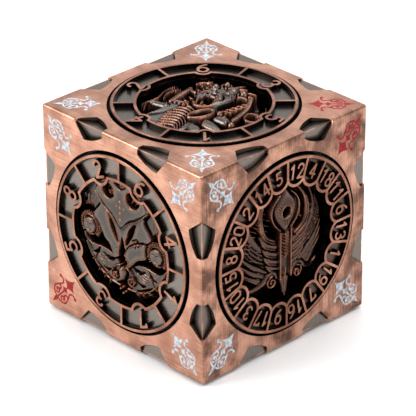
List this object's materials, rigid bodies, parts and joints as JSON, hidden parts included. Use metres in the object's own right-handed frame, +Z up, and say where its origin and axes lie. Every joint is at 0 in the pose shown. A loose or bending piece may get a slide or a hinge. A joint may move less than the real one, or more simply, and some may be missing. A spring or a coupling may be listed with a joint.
{
  "type": "fidget cube with spinning number dials",
  "caption": "Metal desk cube with a round numbered dial turning on a bearing in every face and a red corner emblem that marks the result.",
  "frame": {"origin": "centre of the cube", "axes": "+Z up through the six-number dial, -Y out of the eight-number dial, +X out of the twenty-number dial"},
  "size_m": [0.0408, 0.0408, 0.0408],
  "materials": {
    "antique_copper_housing": "satin",
    "antique_copper_dial": "satin",
    "antique_copper_medallion": "satin",
    "white_enamel": "gloss",
    "red_enamel": "gloss",
    "bearing_steel": "satin",
    "bearing_ball_steel": "polished",
    "bearing_cage_steel": "satin",
    "screw_steel": "satin"
  },
  "bodies": {
    "cube_body": {"housing": "antique_copper_housing", "corner_emblems_white": "white_enamel", "pointer_emblems_red": "red_enamel", "bearing_inner_race_d8": "bearing_steel", "bearing_inner_race_d20": "bearing_steel", "bearing_inner_race_d6": "bearing_steel", "bearing_inner_race_d12": "bearing_steel", "bearing_inner_race_d10": "bearing_steel", "bearing_inner_race_d4": "bearing_steel", "axle_screw_d8": "screw_steel", "axle_screw_d20": "screw_steel", "axle_screw_d6": "screw_steel", "axle_screw_d12": "screw_steel", "axle_screw_d10": "screw_steel", "axle_screw_d4": "screw_steel"},
    "dial_d8": {"number_ring_d8": "antique_copper_dial", "medallion_d8": "antique_copper_medallion", "bearing_outer_race_d8": "bearing_steel"},
    "cage_d8": {"bearing_cage_d8": "bearing_cage_steel", "bearing_balls_d8": "bearing_ball_steel"},
    "dial_d20": {"number_ring_d20": "antique_copper_dial", "medallion_d20": "antique_copper_medallion", "bearing_outer_race_d20": "bearing_steel"},
    "cage_d20": {"bearing_cage_d20": "bearing_cage_steel", "bearing_balls_d20": "bearing_ball_steel"},
    "dial_d6": {"number_ring_d6": "antique_copper_dial", "medallion_d6": "antique_copper_medallion", "bearing_outer_race_d6": "bearing_steel"},
    "cage_d6": {"bearing_cage_d6": "bearing_cage_steel", "bearing_balls_d6": "bearing_ball_steel"},
    "dial_d12": {"number_ring_d12": "antique_copper_dial", "medallion_d12": "antique_copper_medallion", "bearing_outer_race_d12": "bearing_steel"},
    "cage_d12": {"bearing_cage_d12": "bearing_cage_steel", "bearing_balls_d12": "bearing_ball_steel"},
    "dial_d10": {"number_ring_d10": "antique_copper_dial", "medallion_d10": "antique_copper_medallion", "bearing_outer_race_d10": "bearing_steel"},
    "cage_d10": {"bearing_cage_d10": "bearing_cage_steel", "bearing_balls_d10": "bearing_ball_steel"},
    "dial_d4": {"number_ring_d4": "antique_copper_dial", "medallion_d4": "antique_copper_medallion", "bearing_outer_race_d4": "bearing_steel"},
    "cage_d4": {"bearing_cage_d4": "bearing_cage_steel", "bearing_balls_d4": "bearing_ball_steel"}
  },
  "joints": [
    {"name": "dial_d8_spin", "type": "hinge", "parent": "cube_body", "child": "dial_d8", "pos_m": [0, 0, 0], "axis": [0, -1, 0], "continuous": true},
    {"name": "cage_d8_spin", "type": "hinge", "parent": "cube_body", "child": "cage_d8", "pos_m": [0, 0, 0], "axis": [0, -1, 0], "continuous": true},
    {"name": "dial_d20_spin", "type": "hinge", "parent": "cube_body", "child": "dial_d20", "pos_m": [0, 0, 0], "axis": [1, 0, 0], "continuous": true},
    {"name": "cage_d20_spin", "type": "hinge", "parent": "cube_body", "child": "cage_d20", "pos_m": [0, 0, 0], "axis": [1, 0, 0], "continuous": true},
    {"name": "dial_d6_spin", "type": "hinge", "parent": "cube_body", "child": "dial_d6", "pos_m": [0, 0, 0], "axis": [0, 0, 1], "continuous": true},
    {"name": "cage_d6_spin", "type": "hinge", "parent": "cube_body", "child": "cage_d6", "pos_m": [0, 0, 0], "axis": [0, 0, 1], "continuous": true},
    {"name": "dial_d12_spin", "type": "hinge", "parent": "cube_body", "child": "dial_d12", "pos_m": [0, 0, 0], "axis": [0, 1, 0], "continuous": true},
    {"name": "cage_d12_spin", "type": "hinge", "parent": "cube_body", "child": "cage_d12", "pos_m": [0, 0, 0], "axis": [0, 1, 0], "continuous": true},
    {"name": "dial_d10_spin", "type": "hinge", "parent": "cube_body", "child": "dial_d10", "pos_m": [0, 0, 0], "axis": [-1, 0, 0], "continuous": true},
    {"name": "cage_d10_spin", "type": "hinge", "parent": "cube_body", "child": "cage_d10", "pos_m": [0, 0, 0], "axis": [-1, 0, 0], "continuous": true},
    {"name": "dial_d4_spin", "type": "hinge", "parent": "cube_body", "child": "dial_d4", "pos_m": [0, 0, 0], "axis": [0, 0, -1], "continuous": true},
    {"name": "cage_d4_spin", "type": "hinge", "parent": "cube_body", "child": "cage_d4", "pos_m": [0, 0, 0], "axis": [0, 0, -1], "continuous": true}
  ],
  "couplings": [
    {"joint": "cage_d8_spin", "follows": "dial_d8_spin", "ratio": 0.58336},
    {"joint": "cage_d20_spin", "follows": "dial_d20_spin", "ratio": 0.58336},
    {"joint": "cage_d6_spin", "follows": "dial_d6_spin", "ratio": 0.58336},
    {"joint": "cage_d12_spin", "follows": "dial_d12_spin", "ratio": 0.58336},
    {"joint": "cage_d10_spin", "follows": "dial_d10_spin", "ratio": 0.58336},
    {"joint": "cage_d4_spin", "follows": "dial_d4_spin", "ratio": 0.58336}
  ]
}
